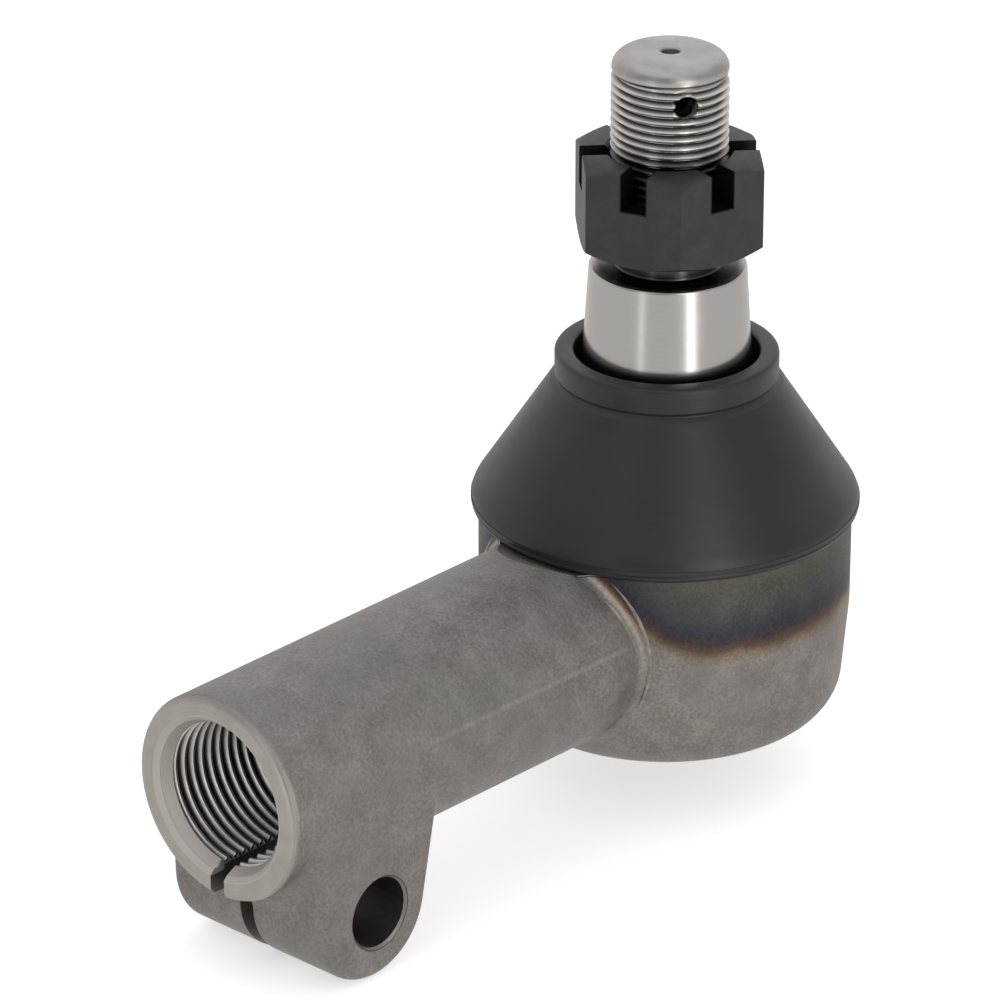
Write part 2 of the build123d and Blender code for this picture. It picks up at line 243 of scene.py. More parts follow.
# %% [markdown]
# ## Effects that several finishes share
# Blasted grain, fine tool marks and rubbed spots turn up on more than one metal. Each is made once as
# a node group with named inputs, so a finish only chooses the sizes. The groups give out plain
# values, and the shader itself stays in each material.


# %% A helper for node groups
def new_group(name, inputs, outputs):
    """An empty node group with number inputs, a Place input and number outputs."""
    group = bpy.data.node_groups.new(name, "ShaderNodeTree")
    group.interface.new_socket(name="Place", in_out="INPUT", socket_type="NodeSocketVector")
    for label, value in inputs.items():
        socket = group.interface.new_socket(name=label, in_out="INPUT", socket_type="NodeSocketFloat")
        socket.default_value = value
    for label in outputs:
        group.interface.new_socket(name=label, in_out="OUTPUT", socket_type="NodeSocketFloat")
    start = group.nodes.new("NodeGroupInput").outputs
    end = group.nodes.new("NodeGroupOutput").inputs
    return group, start, end


def use_group(tree, group, place, **values):
    """Places a node group in a material and sets its inputs by name."""
    node = add_node(tree, "ShaderNodeGroup", node_tree=group)
    put(node.inputs["Place"], place)
    for label, value in values.items():
        put(node.inputs[label.replace("_", " ")], value)
    return node.outputs


print("group helpers ready")

# %% Blasted grain, tool marks and rubbed spots
blasted_grain, start, end = new_group(
    "blasted_grain",
    {"Grain Scale": 1700.0, "Patch Scale": 130.0},
    ["Grain", "Speckle", "Patches", "Clouds"],
)
put(end["Grain"], noise(blasted_grain, start["Place"], start["Grain Scale"], 4.0, 0.62))
pit_scale = times(blasted_grain, start["Grain Scale"], 0.7)
pits = add_node(blasted_grain, "ShaderNodeTexVoronoi", {"Vector": start["Place"], "Scale": pit_scale})
put(end["Speckle"], pits.outputs["Distance"])
put(end["Patches"], noise(blasted_grain, start["Place"], start["Patch Scale"], 5.0, 0.6))
put(
    end["Clouds"],
    noise(blasted_grain, start["Place"], times(blasted_grain, start["Patch Scale"], 0.32), 2.0),
)

tool_marks, start, end = new_group(
    "tool_marks", {"Along": 0.0, "Marks": 9000.0}, ["Fine Marks", "Broad Marks"]
)
for label, share in (("Fine Marks", 1.0), ("Broad Marks", 0.13)):
    waver = times(tool_marks, noise(tool_marks, start["Place"], 60.0, 1.0), 0.00006)
    along, scale = plus(tool_marks, start["Along"], waver), times(tool_marks, start["Marks"], share)
    inputs = {"W": along, "Scale": scale, "Detail": 2.0}
    line = add_node(tool_marks, "ShaderNodeTexNoise", inputs, noise_dimensions="1D")
    put(end[label], line.outputs[0])

rubbed_spots, start, end = new_group(
    "rubbed_spots", {"Spot Scale": 240.0, "Amount": 0.5}, ["Spots", "Scratches"]
)
spots = noise(rubbed_spots, start["Place"], start["Spot Scale"], 4.0, 0.65)
limit = calc(rubbed_spots, "SUBTRACT", 0.82, times(rubbed_spots, start["Amount"], 0.3))
put(end["Spots"], fade(rubbed_spots, spots, limit, plus(rubbed_spots, limit, 0.09)))
lines = noise(rubbed_spots, start["Place"], start["Spot Scale"], 2.0, 0.5, stretch=(1.0, 9.0, 5.0))
put(end["Scratches"], fade(rubbed_spots, lines, plus(rubbed_spots, limit, 0.02), 0.86))
print("node groups:", [group.name for group in bpy.data.node_groups])

# %% [markdown]
# ## Forged steel
# The housing is hot forged and then shot blasted, which leaves a dull grey-brown skin with a fine
# grain and broad clouds of tone. After that its end face, bore and bolt hole are cut bright. Welding
# or hardening heat near the boot has tinted the cup: straw at the edge, then brown, purple and
# blue. All of this is one material, because it is one piece of steel: masks made from the distance to
# an axis tell which tool last touched each spot, and another marks the faint seam where the two die
# halves met along the shank.

# %% Forged steel material
forged_steel, tree, shader, place = new_material("forged_steel")
x, y, z = split(tree, place)
grain = use_group(tree, blasted_grain, place, Grain_Scale=1900.0, Patch_Scale=210.0)
rubs = use_group(tree, rubbed_spots, place, Spot_Scale=330.0, Amount=0.35)
from_bore = radius_of(tree, y, z)
from_stud = radius_of(tree, x, y)

fine_tone = times(tree, grain["Grain"], 0.55)
tone = plus(tree, fine_tone, times(tree, grain["Patches"], 0.45))
skin = colour_steps(
    tree,
    fade(tree, tone, 0.33, 0.68),
    [(0.0, (0.218, 0.197, 0.181)), (0.5, (0.290, 0.264, 0.247)), (1.0, (0.368, 0.340, 0.320))],
)
greenish = (0.245, 0.245, 0.222, 1.0)
clouds = fade(tree, grain["Clouds"], 0.42, 0.62, 0.0, 0.35)
skin = blend_colour(tree, clouds, skin, greenish)
skin = blend_colour(tree, times(tree, rubs["Spots"], 0.22), skin, (0.50, 0.47, 0.44, 1.0))
# The fillet where the shank grows out of the cup is painted lighter, more so towards its top: a painted
# highlight on the rounded blend.
painted_blend_highlight = times(
    tree,
    fade(tree, from_bore, (SHANK_R + 0.03) * MM, (SHANK_R + 0.5) * MM),
    fade(tree, from_stud, (CUP_R + 0.03) * MM, (CUP_R + 0.5) * MM),
)
at_junction = times(tree, fade(tree, x, -24 * MM, -26 * MM), fade(tree, x, -40 * MM, -38 * MM))
painted_blend_highlight = times(tree, painted_blend_highlight, at_junction)
painted_blend_highlight = times(tree, painted_blend_highlight, fade(tree, z, -6 * MM, 7 * MM, 0.0, 0.55))
skin = blend_colour(tree, painted_blend_highlight, skin, (0.50, 0.465, 0.43, 1.0))
from_parting = calc(tree, "ABSOLUTE", calc(tree, "SUBTRACT", z, PARTING_Z * MM))
parting = times(
    tree,
    fade(tree, from_parting, 0.8 * MM, 0.1 * MM),
    times(tree, fade(tree, x, -26 * MM, -31 * MM), fade(tree, x, -86 * MM, -70 * MM)),
)
parting = times(tree, parting, fade(tree, grain["Patches"], 0.3, 0.6, 0.5, 1.0))
skin = blend_colour(tree, times(tree, parting, 0.3), skin, (0.50, 0.465, 0.43, 1.0))

# %% Heat tint round the cup
wander = times(tree, calc(tree, "SUBTRACT", noise(tree, place, 90.0, 3.0), 0.5), 0.0034)
towards_shank = calc(tree, "DIVIDE", calc(tree, "SUBTRACT", -16 * MM, x), 16 * MM, clamp=True)
near_shank = times(tree, calc(tree, "POWER", towards_shank, 3.0), 19 * MM)
tint_bottom = plus(tree, plus(tree, near_shank, wander), -0.4 * MM)
tint_height = calc(tree, "DIVIDE", calc(tree, "SUBTRACT", z, tint_bottom), 15.5 * MM)
tint = colour_steps(
    tree,
    tint_height,
    [
        (0.0, (1.0, 1.0, 1.0)),
        (0.10, (0.86, 0.75, 0.58)),
        (0.19, (0.46, 0.33, 0.26)),
        (0.27, (0.27, 0.21, 0.25)),
        (0.38, (0.20, 0.23, 0.31)),
        (0.62, (0.30, 0.355, 0.37)),
        (1.0, (0.43, 0.44, 0.39)),
    ],
)
on_cup = times(
    tree,
    fade(tree, from_stud, 30.2 * MM, 31.2 * MM),
    fade(tree, from_stud, 33.6 * MM, 32.7 * MM),
)
skin = blend_colour(tree, on_cup, skin, blend_colour(tree, 1.0, skin, tint, "MULTIPLY"))

# %% Where the housing is cut bright
end_x = housing_low.x * MM
rim_wear = times(tree, grain["Clouds"], 1.6 * MM)
end_face = fade(tree, plus(tree, x, rim_wear), end_x + 2.2 * MM, end_x + 0.9 * MM)
in_bore = times(
    tree,
    fade(tree, from_bore, 14.6 * MM, 14.3 * MM),
    fade(tree, x, -44 * MM, -46 * MM),
)
bolt_x = calc(tree, "SUBTRACT", x, BOLT_X * MM)
bolt_z = calc(tree, "SUBTRACT", z, BOLT_Z * MM)
from_bolt = radius_of(tree, bolt_x, bolt_z)
in_bolt_hole = fade(tree, from_bolt, (BOLT_HOLE_R + 0.55) * MM, (BOLT_HOLE_R + 0.4) * MM)
in_slit = times(
    tree,
    fade(tree, calc(tree, "ABSOLUTE", y), 1.6 * MM, 1.52 * MM),
    times(tree, fade(tree, z, -12 * MM, -12.5 * MM), fade(tree, x, -64 * MM, -65 * MM)),
)
seat = times(tree, fade(tree, z, 15.6 * MM, 15.8 * MM), fade(tree, from_stud, 34.4 * MM, 34 * MM))
end_and_bore = calc(tree, "MAXIMUM", end_face, in_bore)
cut = calc(tree, "MAXIMUM", end_and_bore, calc(tree, "MAXIMUM", in_bolt_hole, seat))
cut = calc(tree, "MAXIMUM", cut, in_slit, clamp=True)
marks = use_group(tree, tool_marks, place, Along=from_bore, Marks=5200.0)
bright = colour_steps(
    tree,
    marks["Fine Marks"],
    [(0.25, (0.41, 0.38, 0.35)), (0.75, (0.50, 0.465, 0.435))],
)
worn = fade(tree, grain["Patches"], 0.4, 0.7, 0.0, 0.35)
bright = blend_colour(tree, worn, bright, (0.33, 0.305, 0.28, 1.0))
# The insides of the slit and the bolt hole are painted much darker than the other cut faces: painted shade
# in these narrow cuts.
painted_shade_in_cuts = calc(tree, "MAXIMUM", in_slit, in_bolt_hole, clamp=True)
bright = blend_colour(tree, times(tree, painted_shade_in_cuts, 0.7), bright, (0.17, 0.155, 0.14, 1.0))
in_mouth = times(tree, fade(tree, x, end_x + 3.5 * MM, end_x + 2.8 * MM), in_bore)
bright = blend_colour(tree, times(tree, in_mouth, 0.85), bright, (0.62, 0.585, 0.55, 1.0))
housing_colour = blend_colour(tree, cut, skin, bright)

# %% How rough the housing is
skin_roughness = plus(tree, 0.42, times(tree, grain["Patches"], 0.3))
skin_roughness = calc(tree, "SUBTRACT", skin_roughness, times(tree, on_cup, 0.06))
cut_roughness = plus(tree, 0.34, times(tree, marks["Broad Marks"], 0.16))
cut_roughness = plus(tree, cut_roughness, times(tree, in_mouth, 0.2))
mixed = {"Factor": cut, "A": skin_roughness, "B": cut_roughness}
roughness = add_node(tree, "ShaderNodeMix", mixed).outputs[0]
forged = calc(tree, "SUBTRACT", 1.0, cut, clamp=True)
grit = plus(
    tree,
    times(tree, grain["Grain"], 0.00007),
    times(tree, grain["Speckle"], 0.00003),
)
dents = times(tree, grain["Patches"], 0.00022)
seam = times(tree, parting, 0.00010)
skin_height = times(tree, plus(tree, plus(tree, grit, dents), seam), forged)
cut_height = times(tree, times(tree, marks["Fine Marks"], 0.00001), cut)
dress(tree, shader, housing_colour, roughness, plus(tree, skin_height, cut_height), metallic=1.0)
print("forged steel:", len(tree.nodes), "nodes")

# %% [markdown]
# ## Trimmed flash
# Where steel crept between the dies, a thin rib was trimmed and tumbled. It stands proud, so it gets
# rubbed and stays lighter and smoother than the skin round it.

# %% Trimmed flash material
trimmed_flash, tree, shader, place = new_material("trimmed_flash")
grain = use_group(tree, blasted_grain, place, Grain_Scale=1900.0, Patch_Scale=420.0)
rubbed = colour_steps(
    tree,
    fade(tree, grain["Patches"], 0.35, 0.68),
    [(0.0, (0.29, 0.265, 0.245)), (1.0, (0.46, 0.43, 0.40))],
)
roughness = plus(tree, 0.4, times(tree, grain["Grain"], 0.25))
dress(tree, shader, rubbed, roughness, times(tree, grain["Grain"], 0.0001), metallic=1.0)
print("trimmed flash:", len(tree.nodes), "nodes")

# %% [markdown]
# ## Turned steel
# The stud is turned and ground, so its marks run round its axis. Seen from the side they spread a
# reflection up and down, and the taper shows tall soft bands of light. Noise that changes
# only with height makes those marks.

# %% Turned steel material
turned_steel, tree, shader, place = new_material("turned_steel")
x, y, z = split(tree, place)
marks = use_group(tree, tool_marks, place, Along=z, Marks=9000.0)
stains = use_group(tree, blasted_grain, place, Grain_Scale=900.0, Patch_Scale=210.0)
steel = colour_steps(
    tree,
    marks["Fine Marks"],
    [(0.3, (0.445, 0.428, 0.411)), (0.7, (0.490, 0.475, 0.456))],
)
stained = fade(tree, stains["Patches"], 0.5, 0.75, 0.0, 0.2)
steel = blend_colour(tree, stained, steel, (0.45, 0.42, 0.38, 1.0))
on_top = fade(tree, z, DOME_BOTTOM_Z * MM, (DOME_BOTTOM_Z + 1) * MM)
top_dirt = times(tree, on_top, fade(tree, stains["Patches"], 0.38, 0.62, 0.1, 0.6))
steel = blend_colour(tree, top_dirt, steel, (0.36, 0.335, 0.31, 1.0))

# %% Painted shade on the stud
from_stud = radius_of(tree, x, y)
hole_turn = radians(COTTER_TURN)
across_hole = calc(tree, "SUBTRACT", times(tree, y, cos(hole_turn)), times(tree, x, sin(hole_turn)))
from_hole = radius_of(tree, across_hole, calc(tree, "SUBTRACT", z, COTTER_Z * MM))
in_hole = fade(tree, from_hole, 2.35 * MM, 2.1 * MM)
in_hole = times(tree, in_hole, fade(tree, from_stud, 9.6 * MM, 9.0 * MM))
under_nut = times(tree, fade(tree, z, 60.1 * MM, 60.35 * MM), fade(tree, z, 82.5 * MM, 80.5 * MM))
under_nut = times(tree, under_nut, fade(tree, from_stud, 13.3 * MM, 11.5 * MM))
in_drill = times(
    tree,
    fade(tree, z, (stud_high.z - 0.15) * MM, (stud_high.z - 0.5) * MM),
    times(tree, fade(tree, z, 95.0 * MM, 95.5 * MM), fade(tree, from_stud, 2.2 * MM, 1.8 * MM)),
)
# The cotter hole, the undercut under the nut and the centre drill are painted nearly black: painted shade
# in these hollows and under the nut.
painted_stud_shade = calc(tree, "MAXIMUM", calc(tree, "MAXIMUM", in_hole, under_nut), in_drill)
painted_stud_shade = times(tree, painted_stud_shade, 0.88)
steel = blend_colour(tree, painted_stud_shade, steel, (0.02, 0.019, 0.018, 1.0))
shader.inputs["Anisotropic"].default_value = 0.6
top_roughness = fade(tree, z, DOME_BOTTOM_Z * MM, (DOME_BOTTOM_Z + 1) * MM, 0.15, 0.27)
roughness = plus(tree, top_roughness, times(tree, stains["Patches"], 0.08))
tangent = add_node(tree, "ShaderNodeTangent", direction_type="RADIAL", axis="Z")
put(shader.inputs["Tangent"], tangent.outputs[0])
dress(tree, shader, steel, roughness, times(tree, marks["Fine Marks"], 0.0000025), metallic=1.0)
print("turned steel:", len(tree.nodes), "nodes")

# %% [markdown]
# ## Thread steel
# A rolled or tapped thread is the same steel, but its roots are painted dark, partly for oil and dirt and
# partly as painted shade deep in the groove, while its crests are rubbed bright. How far a spot is from
# the thread's axis tells a crest from a root. One recipe makes
# two finishes: the stud's thread, with its crests outside, and the shank's, with its crests inside.


# %% Thread steel materials
def thread_finish(name, axis, root, crest, root_oil_and_shade):
    """A finish painted dark at the root radius, with oil and painted shade in the groove, and bright at
    the crest radius, both in mm.
    """
    material, tree, shader, place = new_material(name)
    x, y, z = split(tree, place)
    stains = use_group(tree, blasted_grain, place, Grain_Scale=1400.0, Patch_Scale=260.0)
    rubs = use_group(tree, rubbed_spots, place, Spot_Scale=600.0, Amount=0.5)
    from_axis = radius_of(tree, x, y) if axis == "Z" else radius_of(tree, y, z)
    height = fade(tree, from_axis, root * MM, crest * MM)
    mid_tone = tuple(0.13 + 1.5 * channel for channel in root_oil_and_shade)
    steel = colour_steps(
        tree,
        height,
        [(0.0, root_oil_and_shade), (0.45, mid_tone), (0.8, (0.53, 0.505, 0.48)), (1.0, (0.68, 0.66, 0.63))],
    )
    spotted = times(tree, rubs["Spots"], 0.3)
    dull = plus(tree, fade(tree, stains["Patches"], 0.4, 0.7, 0.0, 0.25), spotted)
    steel = blend_colour(tree, dull, steel, (0.20, 0.18, 0.16, 1.0))
    if axis == "Z":
        # Inside the nut the stud's thread is painted nearly black: painted shade where the nut covers it.
        in_nut = fade(tree, z, 83.0 * MM, 80.8 * MM, 0.0, 0.9)
        steel = blend_colour(tree, in_nut, steel, (0.02, 0.019, 0.018, 1.0))
    roughness = plus(tree, 0.24, times(tree, stains["Grain"], 0.16))
    dress(tree, shader, steel, roughness, times(tree, stains["Grain"], 0.00002), metallic=1.0)
    print(name, len(tree.nodes), "nodes")
    return material


thread_steel = thread_finish("thread_steel", "Z", STUD_ROOT_R, STUD_THREAD_R, (0.12, 0.112, 0.104))
tapped_steel = thread_finish("tapped_steel", "X", SHANK_THREAD_R, SHANK_DRILL_R, (0.035, 0.032, 0.030))

# %% [markdown]
# ## Black oxide
# The nut is blackened in a hot salt bath. The film is thin, satin and slightly uneven, and it is
# rubbed grey where a spanner or another nut has touched it.

# %% Black oxide material
black_oxide, tree, shader, place = new_material("black_oxide")
x, y, z = split(tree, place)
film = use_group(tree, blasted_grain, place, Grain_Scale=1300.0, Patch_Scale=230.0)
rubs = use_group(tree, rubbed_spots, place, Spot_Scale=420.0, Amount=0.35)
black = colour_steps(
    tree,
    fade(tree, film["Patches"], 0.35, 0.7),
    [(0.0, (0.046, 0.046, 0.0465)), (1.0, (0.056, 0.0555, 0.055))],
)
black = blend_colour(tree, times(tree, rubs["Spots"], 0.3), black, (0.14, 0.135, 0.13, 1.0))
# The slot walls and the nut's bore are painted almost black: painted shade deep in the slots and in the
# hole.
turned_by = plus(tree, calc(tree, "ARCTAN2", y, x), 6 * pi + radians(30 - NUT_SLOT_TURN))
from_slot = calc(tree, "SUBTRACT", calc(tree, "MODULO", turned_by, pi / 3), pi / 6)
slot_sine = calc(tree, "ABSOLUTE", calc(tree, "SINE", from_slot))
across_slot = times(tree, radius_of(tree, x, y), slot_sine)
half_slot = NUT_SLOT_WIDTH / 2
in_slots = times(
    tree,
    fade(tree, across_slot, (half_slot + 0.35) * MM, (half_slot + 0.1) * MM, 0.0, 0.9),
    fade(tree, z, (nut_high.z - NUT_SLOT_DEPTH - 0.4) * MM, (nut_high.z - NUT_SLOT_DEPTH - 0.1) * MM),
)
in_nut_bore = fade(tree, radius_of(tree, x, y), 10.8 * MM, 10.3 * MM, 0.0, 0.9)
black = blend_colour(tree, calc(tree, "MAXIMUM", in_slots, in_nut_bore), black, (0.004, 0.004, 0.004, 1.0))
roughness = plus(tree, 0.36, times(tree, film["Grain"], 0.2))
dress(tree, shader, black, roughness, times(tree, film["Grain"], 0.00005), metallic=0.65)
print("black oxide:", len(tree.nodes), "nodes")

# %% [markdown]
# ## Boot rubber
# Moulded rubber is almost black and a little glossy. Its skin copies the mould: very fine grain, a
# few faint rings left by the lathe that cut the mould, and some pale dust that handling leaves.

# %% Boot rubber material
boot_rubber, tree, shader, place = new_material("boot_rubber")
x, y, z = split(tree, place)
skin_grain = use_group(tree, blasted_grain, place, Grain_Scale=2600.0, Patch_Scale=110.0)
dust = use_group(tree, rubbed_spots, place, Spot_Scale=700.0, Amount=0.25)
mould_marks = use_group(tree, tool_marks, place, Along=z, Marks=2600.0)
rubber = colour_steps(
    tree,
    fade(tree, skin_grain["Clouds"], 0.38, 0.64),
    [(0.0, (0.0112, 0.0112, 0.0142)), (1.0, (0.0160, 0.0162, 0.0165))],
)
rubber = blend_colour(tree, times(tree, dust["Spots"], 0.12), rubber, (0.20, 0.19, 0.18, 1.0))
rubber_height = plus(
    tree,
    times(tree, skin_grain["Grain"], 0.00002),
    times(tree, mould_marks["Broad Marks"], 0.00003),
)
roughness = plus(tree, 0.32, times(tree, skin_grain["Patches"], 0.16))
dress(tree, shader, rubber, roughness, rubber_height)
print("boot rubber:", len(tree.nodes), "nodes")

# %% [markdown]
# ## Bearing plastic and spring steel
# Two finishes that only show when the joint is taken apart: the races are milky acetal with soft
# moulding clouds, and the disc spring is blued strip with rolling marks.

# %% Hidden finishes
race_plastic, tree, shader, place = new_material("race_plastic")
clouds = use_group(tree, blasted_grain, place, Grain_Scale=1800.0, Patch_Scale=90.0)
milky = colour_steps(
    tree, clouds["Patches"], [(0.3, (0.62, 0.60, 0.54)), (0.7, (0.74, 0.72, 0.67))]
)
roughness = plus(tree, 0.34, times(tree, clouds["Grain"], 0.2))
dress(tree, shader, milky, roughness, times(tree, clouds["Grain"], 0.00002))

spring_steel, tree, shader, place = new_material("spring_steel")
x, y, z = split(tree, place)
rolled = use_group(tree, tool_marks, place, Along=x, Marks=3000.0)
blued = colour_steps(
    tree, rolled["Broad Marks"], [(0.3, (0.22, 0.25, 0.33)), (0.7, (0.36, 0.37, 0.42))]
)
roughness = plus(tree, 0.28, times(tree, rolled["Fine Marks"], 0.14))
dress(tree, shader, blued, roughness, metallic=1.0)
print("materials:", [material.name for material in bpy.data.materials])

# %% [markdown]
# ## Give the CAD pieces their finish
# The housing, races, spring and rings already have the right shape, so they only change material.
# Their meshes are left alone.


# %% Paint the CAD pieces
def paint(thing, material):
    """Replaces whatever material a piece has with this one."""
    thing.data.materials.clear()
    thing.data.materials.append(material)


finishes = {
    "housing": forged_steel,
    "upper_race": race_plastic,
    "lower_race": race_plastic,
    "closing_ring": turned_steel,
    "disc_spring": spring_steel,
    "boot_base_ring": turned_steel,
    "boot_collar_ring": turned_steel,
}
for name, material in finishes.items():
    paint(nodes[name], material)
print("painted", len(finishes), "CAD pieces")

# %% [markdown]
# ## Turning an outline into a round piece
# The stud and the boot are round about the Z axis, so an outline of (radius, height) points spun
# about it gives their shape. Doing it point by point in bmesh keeps poles closed and gives evenly
# spaced faces, which the Screw modifier would not promise.


# %% Outline helpers
def arc(centre, radius, start_angle, end_angle, steps):
    """Points along an arc, with angles in degrees."""
    angles = [radians(start_angle + (end_angle - start_angle) * i / steps) for i in range(steps + 1)]
    return [(centre[0] + radius * cos(a), centre[1] + radius * sin(a)) for a in angles]


def rounded(points, radii, steps=5):
    """An open outline whose corners are rounded: one radius for each point, 0 for none."""
    result = []
    for i, (point, radius) in enumerate(zip(points, radii)):
        if not radius or i in (0, len(points) - 1):
            result.append(tuple(point))
            continue
        here = Vector(point)
        back = (Vector(points[i - 1]) - here).normalized()
        ahead = (Vector(points[i + 1]) - here).normalized()
        half = back.angle(ahead) / 2
        reach = radius / tan(half)
        middle = here + (back + ahead).normalized() * (radius / sin(half))
        first, last = here + back * reach - middle, here + ahead * reach - middle
        sweep = first.angle(last)
        for step in range(steps + 1):
            near, far = sin(sweep * (1 - step / steps)), sin(sweep * step / steps)
            result.append(tuple(middle + (first * near + last * far) / sin(sweep)))
    return result


def spin(name, outline, steps, closed=False):
    """Spins an outline of (radius, height) in mm about Z into a mesh object in metres."""
    mesh_builder = bmesh.new()
    rings = []
    for radius, height in outline:
        if radius < 1e-6:
            rings.append([mesh_builder.verts.new((0, 0, height * MM))])
            continue
        turns = [2 * pi * i / steps for i in range(steps)]
        spots = [(radius * cos(t) * MM, radius * sin(t) * MM, height * MM) for t in turns]
        rings.append([mesh_builder.verts.new(spot) for spot in spots])
    pairs = list(zip(rings, rings[1:])) + ([(rings[-1], rings[0])] if closed else [])
    for low, high in pairs:
        for i in range(steps):
            j = (i + 1) % steps
            corners = [low[i % len(low)], low[j % len(low)], high[j % len(high)], high[i % len(high)]]
            corners = list(dict.fromkeys(corners))
            mesh_builder.faces.new(corners)
    bmesh.ops.recalc_face_normals(mesh_builder, faces=mesh_builder.faces)
    if mesh_builder.calc_volume(signed=True) < 0:
        bmesh.ops.reverse_faces(mesh_builder, faces=mesh_builder.faces)
    return finish_mesh(name, mesh_builder)


def finish_mesh(name, mesh_builder, sharp_angle=35.0):
    """Makes an object of a bmesh, smooth but with its corners kept sharp."""
    for face in mesh_builder.faces:
        face.smooth = True
    for edge in mesh_builder.edges:
        edge.smooth = len(edge.link_faces) != 2 or edge.calc_face_angle(0) < radians(sharp_angle)
    mesh = bpy.data.meshes.new(name)
    mesh_builder.to_mesh(mesh)
    mesh_builder.free()
    thing = bpy.data.objects.new(name, mesh)
    bpy.context.scene.collection.objects.link(thing)
    return thing


print("outline helpers ready")

# %% [markdown]
# ## The stud without its thread
# Below the boot are the ball and the neck, then the ground taper that the steering arm clamps on, an
# undercut, the threaded end and a domed top with the small hole that a lathe centre leaves. The
# threaded length is spun at the thread's root radius, and the thread itself is wound on later.

# %% Spin the stud
BALL_R = 16.5
NECK_R = 9.8
ball_flat_z = stud_low.z
stud_top_z = stud_high.z
taper_slope = 1 / 16
flat_angle = degrees(atan2(ball_flat_z, sqrt(BALL_R**2 - ball_flat_z**2)))
neck_angle = degrees(atan2(sqrt(BALL_R**2 - NECK_R**2), NECK_R))
ball_outline = arc((0, 0), BALL_R, flat_angle, neck_angle, 40)
dome_angles = [radians(90 * i / 14) for i in range(15)]
dome = [(6.7 + 3.2 * cos(a), 95.9 + (stud_top_z - 95.9) * sin(a)) for a in dome_angles]
neck_outline = rounded(
    [
        ball_outline[-1],
        (NECK_R, 25.0),
        (13.45 + (TAPER_TOP_Z - 36.5) * taper_slope, 36.5),
        (13.45, TAPER_TOP_Z),
        (8.8, TAPER_TOP_Z),
        (8.8, 63.2),
        (STUD_ROOT_R, 64.2),
        (STUD_ROOT_R, 94.9),
        (9.9, 95.6),
        *dome,
        (1.9, stud_top_z),
        (1.5, stud_top_z - 0.5),
        (0.0, stud_top_z - 2.6),
    ],
    [0, 6.0, 6.0, 0.45, 0.5, 0.4, 0.2, 0.2, 0.1, *[0] * len(dome), 0.12, 0.1, 0],
)
stud_outline = [(0.0, ball_flat_z)] + ball_outline + neck_outline[1:]
stud = spin("stud_shape", stud_outline, 128)
print("stud outline:", len(stud_outline), "points")

# %% [markdown]
# ## A thread that is really wound
# A thread is a ridge on a helix, so it follows a rule, and Geometry Nodes suit it. A spiral curve is
# swept with a trapezoid, whose wide side sits on the core. The curve's normals are kept level, so
# the ridge never twists, and its size fades at both ends as a real thread runs out. Side is 1 for a
# thread that stands outwards and -1 for one that stands inwards.


# %% Build the thread tree
def new_tree(name, inputs):
    """A geometry tree with a geometry input, named inputs and a geometry output."""
    tree = bpy.data.node_groups.new(name, "GeometryNodeTree")
    tree.interface.new_socket(name="Geometry", in_out="INPUT", socket_type="NodeSocketGeometry")
    for label, kind in inputs.items():
        tree.interface.new_socket(name=label, in_out="INPUT", socket_type="NodeSocket" + kind)
    tree.interface.new_socket(name="Geometry", in_out="OUTPUT", socket_type="NodeSocketGeometry")
    return tree, tree.nodes.new("NodeGroupInput").outputs, tree.nodes.new("NodeGroupOutput").inputs


def sweep_end(tree, curve, profile):
    """Sweeps the profile along the curve, as large at each point as the curve's radius there."""
    radius = add_node(tree, "GeometryNodeInputRadius").outputs[0]
    inputs = {"Curve": curve, "Profile Curve": profile, "Fill Caps": True, "Scale": radius}
    return add_node(tree, "GeometryNodeCurveToMesh", inputs).outputs[0]


def close_tree(tree, geometry, given, result):
    """Ends a tree with Realize Instances and Set Material."""
    real = add_node(tree, "GeometryNodeRealizeInstances", {0: geometry})
    inputs = {"Geometry": real.outputs[0], "Material": given["Material"]}
    put(result["Geometry"], add_node(tree, "GeometryNodeSetMaterial", inputs).outputs[0])


thread_tree, given, result = new_tree(
    "wound_thread",
    {
        "Pitch": "Float",
        "Turns": "Float",
        "Core Radius": "Float",
        "Ridge Height": "Float",
        "Side": "Float",
        "Root Width": "Float",
        "Crest Width": "Float",
        "Run Out Turns": "Float",
        "Steps Per Turn": "Int",
        "Turn": "Rotation",
        "Start": "Vector",
        "Material": "Material",
    },
)
spiral = add_node(
    thread_tree,
    "GeometryNodeCurveSpiral",
    {
        "Resolution": given["Steps Per Turn"],
        "Rotations": given["Turns"],
        "Start Radius": given["Core Radius"],
        "End Radius": given["Core Radius"],
        "Height": times(thread_tree, given["Pitch"], given["Turns"]),
    },
)
level = add_node(thread_tree, "GeometryNodeSetCurveNormal", {"Curve": spiral.outputs[0]}, mode="Z_UP")
share = add_node(thread_tree, "GeometryNodeSplineParameter").outputs["Factor"]
from_end = calc(thread_tree, "MINIMUM", share, calc(thread_tree, "SUBTRACT", 1.0, share))
ramp = calc(thread_tree, "DIVIDE", times(thread_tree, from_end, given["Turns"]), given["Run Out Turns"])
size = calc(thread_tree, "MAXIMUM", calc(thread_tree, "MINIMUM", ramp, 1.0), 0.03)
sized = add_node(thread_tree, "GeometryNodeSetCurveRadius", {"Curve": level.outputs[0], "Radius": size})
ridge = add_node(
    thread_tree,
    "GeometryNodeCurvePrimitiveQuadrilateral",
    {
        "Height": given["Ridge Height"],
        "Bottom Width": given["Root Width"],
        "Top Width": given["Crest Width"],
        "Offset": 0.0,
    },
    mode="TRAPEZOID",
)
half_height = times(thread_tree, given["Ridge Height"], -0.5)
lift = add_node(thread_tree, "ShaderNodeCombineXYZ", {"X": times(thread_tree, half_height, given["Side"])})
upright = add_node(thread_tree, "ShaderNodeCombineXYZ", {"Z": times(thread_tree, given["Side"], pi / 2)})
